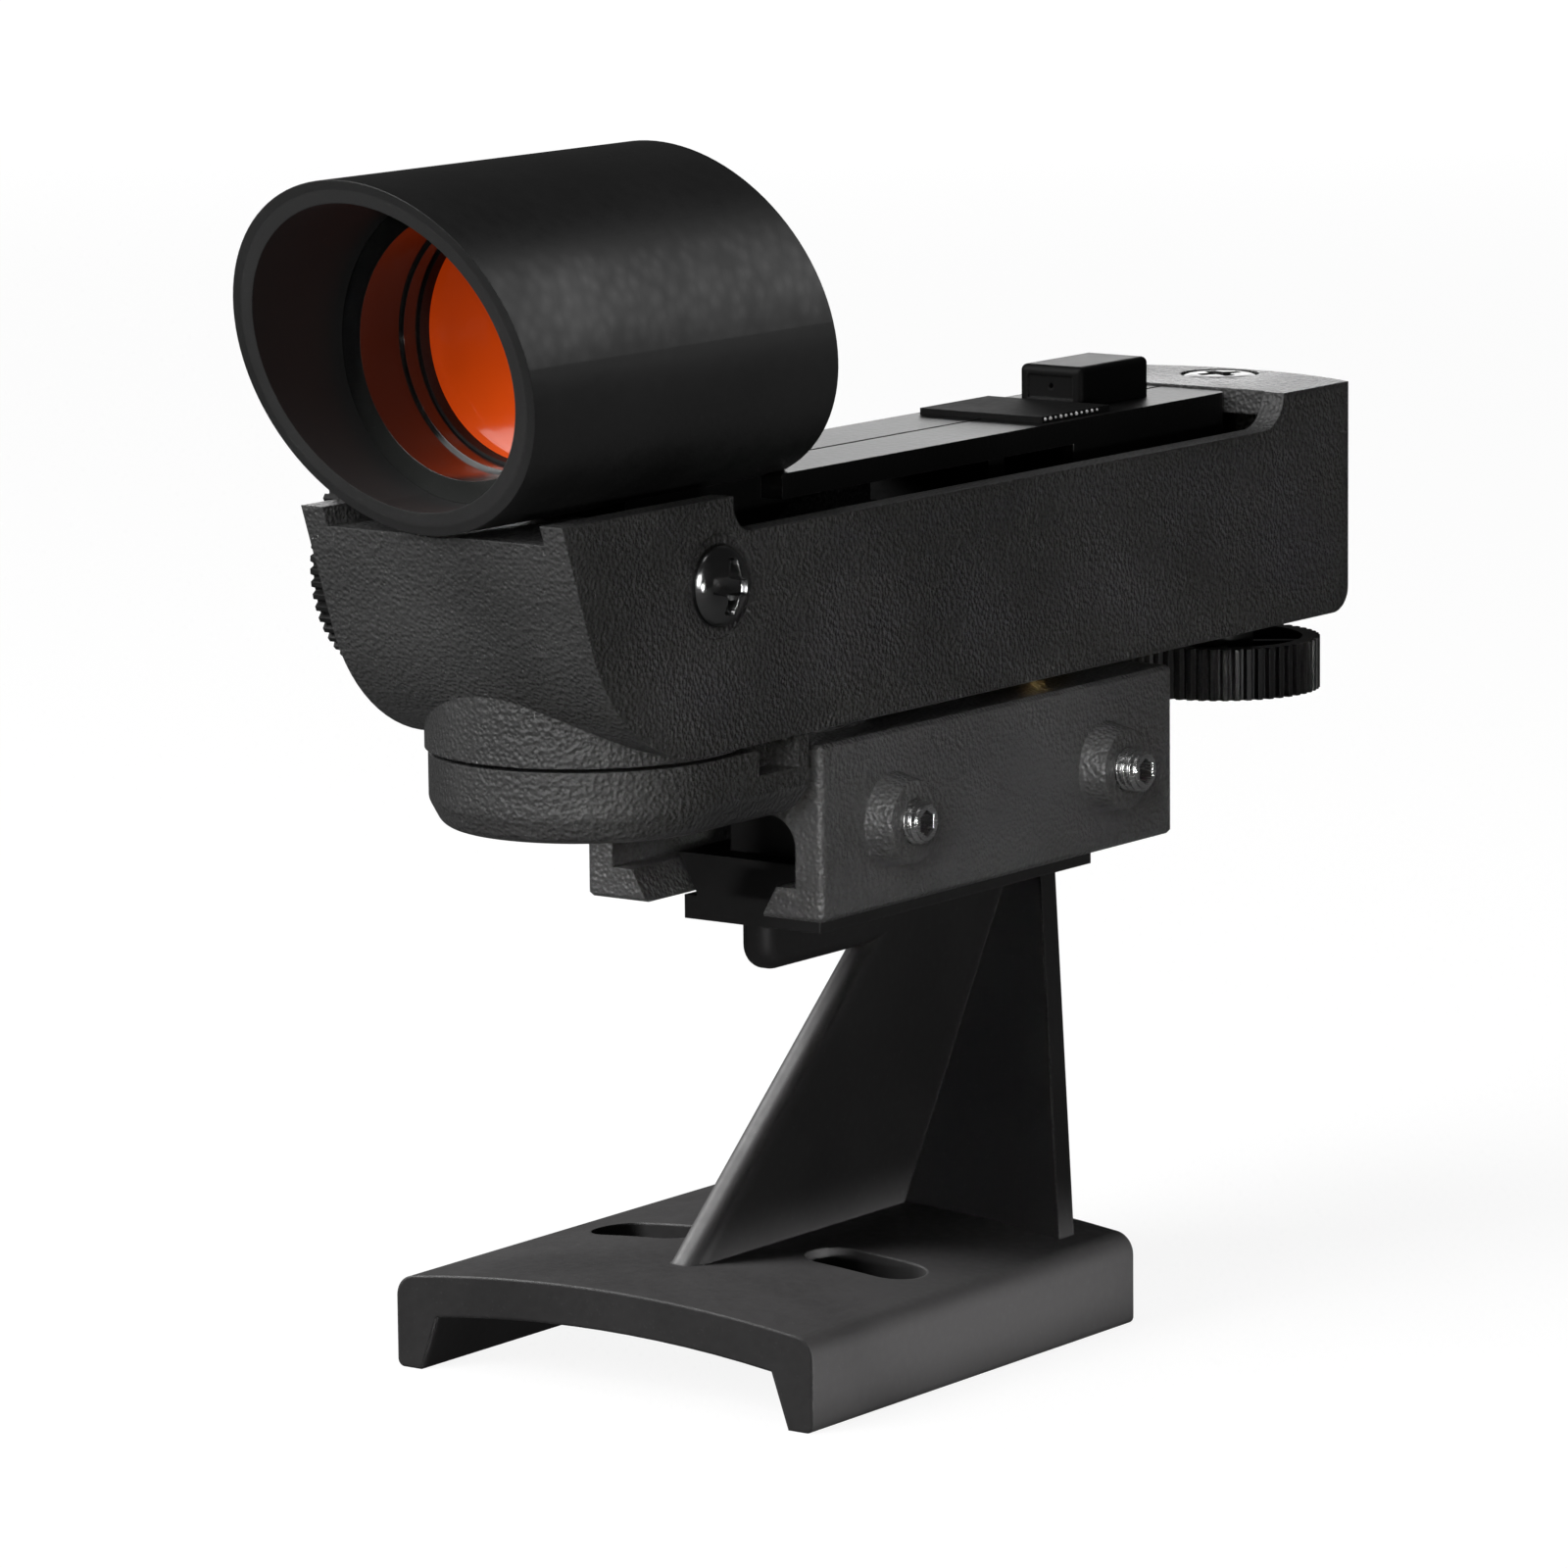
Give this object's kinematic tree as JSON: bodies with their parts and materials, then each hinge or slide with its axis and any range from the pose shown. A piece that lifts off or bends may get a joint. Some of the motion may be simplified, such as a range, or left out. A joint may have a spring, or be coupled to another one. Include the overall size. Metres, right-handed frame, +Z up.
{
  "type": "finder scope",
  "caption": "Illuminated reflex finder: slanted sight tube and rail tilting in a channel housing, on a dovetail clamp and a slotted saddle foot, with altitude, azimuth and brightness adjusters.",
  "frame": {"origin": "under the middle of the sight's length and width, on the plane of the foot's two runners", "axes": "+Y along the line of sight toward the eye, +Z up, +X to the side of the hinge screw's head"},
  "size_m": [0.0458, 0.1426, 0.1099],
  "materials": {
    "black_moulding": "fine leather-like moulded grain",
    "foot_moulding": "smooth satin moulding",
    "clamp_moulding": "fine moulded grain",
    "carriage_moulding": "smooth satin moulding",
    "tube_black": "satin black, matt inside",
    "ring_black": "satin",
    "black_screw": "glossy black oxide",
    "set_screw_steel": "satin black oxide",
    "steel": "turned",
    "brass": "turned",
    "cell_steel": "pressed",
    "spring_steel": "drawn",
    "knob_black": "moulded ribs, satin",
    "board": "solder mask",
    "dimmer_plastic": "moulded",
    "hood_gloss": "polished",
    "pad_black": "satin film",
    "gasket_rubber": "soft",
    "lens_glass": "red-reflecting coating on one face",
    "emitter_red": "clear epoxy"
  },
  "bodies": {
    "foot": {"saddle_bracket": "foot_moulding"},
    "clamp": {"dovetail_clamp": "clamp_moulding", "azimuth_washer": "steel"},
    "set_screw_front": {"set_screw_front": "set_screw_steel"},
    "set_screw_rear": {"set_screw_rear": "set_screw_steel"},
    "azimuth_drive": {"azimuth_screw": "steel", "azimuth_knob": "knob_black"},
    "housing": {"housing": "black_moulding", "azimuth_pivot_screw": "steel", "azimuth_nut": "steel", "azimuth_block": "brass", "pivot_screw": "black_screw", "pivot_nut": "steel", "pivot_spacer_left": "steel", "pivot_spacer_right": "steel", "battery_contact": "spring_steel", "dimmer": "dimmer_plastic", "control_board": "board"},
    "battery_tray": {"battery_cover": "black_moulding", "coin_cell": "cell_steel"},
    "dial": {"brightness_dial": "knob_black"},
    "carriage": {"carriage_frame": "carriage_moulding", "sight_tube": "tube_black", "lens_retaining_ring": "ring_black", "lens_spacer_ring": "ring_black", "lens_gasket": "gasket_rubber", "lens": "lens_glass", "altitude_nut": "brass", "altitude_spring": "spring_steel", "antiglare_pad": "pad_black", "emitter_hood": "hood_gloss", "emitter_board": "board", "emitter": "emitter_red"},
    "altitude_drive": {"altitude_wheel": "knob_black", "altitude_washer": "steel", "altitude_screw": "black_screw"}
  },
  "joints": [
    {"name": "clamp_slide", "type": "slide", "parent": "foot", "child": "clamp", "axis": [0, 1, 0], "range_m": [-0.02, 0.009]},
    {"name": "set_screw_front_turn", "type": "hinge", "parent": "clamp", "child": "set_screw_front", "pos_m": [0.015, -0.0115, 0.0491], "axis": [1, 0, 0], "range_deg": [0, 1080]},
    {"name": "set_screw_rear_turn", "type": "hinge", "parent": "clamp", "child": "set_screw_rear", "pos_m": [0.015, 0.0222, 0.0491], "axis": [1, 0, 0], "range_deg": [0, 1080]},
    {"name": "azimuth_knob_turn", "type": "hinge", "parent": "clamp", "child": "azimuth_drive", "pos_m": [-0.0145, 0.028, 0.0538], "axis": [1, 0, 0], "range_deg": [-900, 900]},
    {"name": "azimuth_swing", "type": "hinge", "parent": "clamp", "child": "housing", "pos_m": [0, -0.0125, 0.058], "axis": [0, 0, 1], "range_deg": [-2.5, 2.5]},
    {"name": "battery_cover_pull", "type": "slide", "parent": "housing", "child": "battery_tray", "axis": [0, 0, -1], "range_m": [0, 0.01]},
    {"name": "brightness_dial_turn", "type": "hinge", "parent": "housing", "child": "dial", "pos_m": [-0.0155, -0.0455, 0.0745], "axis": [1, 0, 0], "range_deg": [0, 270]},
    {"name": "altitude_tilt", "type": "hinge", "parent": "housing", "child": "carriage", "pos_m": [0, -0.0381, 0.07325], "axis": [1, 0, 0], "range_deg": [-0.87, 0.58], "deforming": ["altitude_spring"]},
    {"name": "altitude_wheel_turn", "type": "hinge", "parent": "housing", "child": "altitude_drive", "pos_m": [0, 0.0616, 0.0527], "axis": [0, 0, 1], "range_deg": [-720, 1080]}
  ],
  "couplings": [
    {"joint": "azimuth_swing", "follows": "azimuth_knob_turn", "ratio": 0.0027508},
    {"joint": "altitude_tilt", "follows": "altitude_wheel_turn", "ratio": -0.00079817}
  ]
}
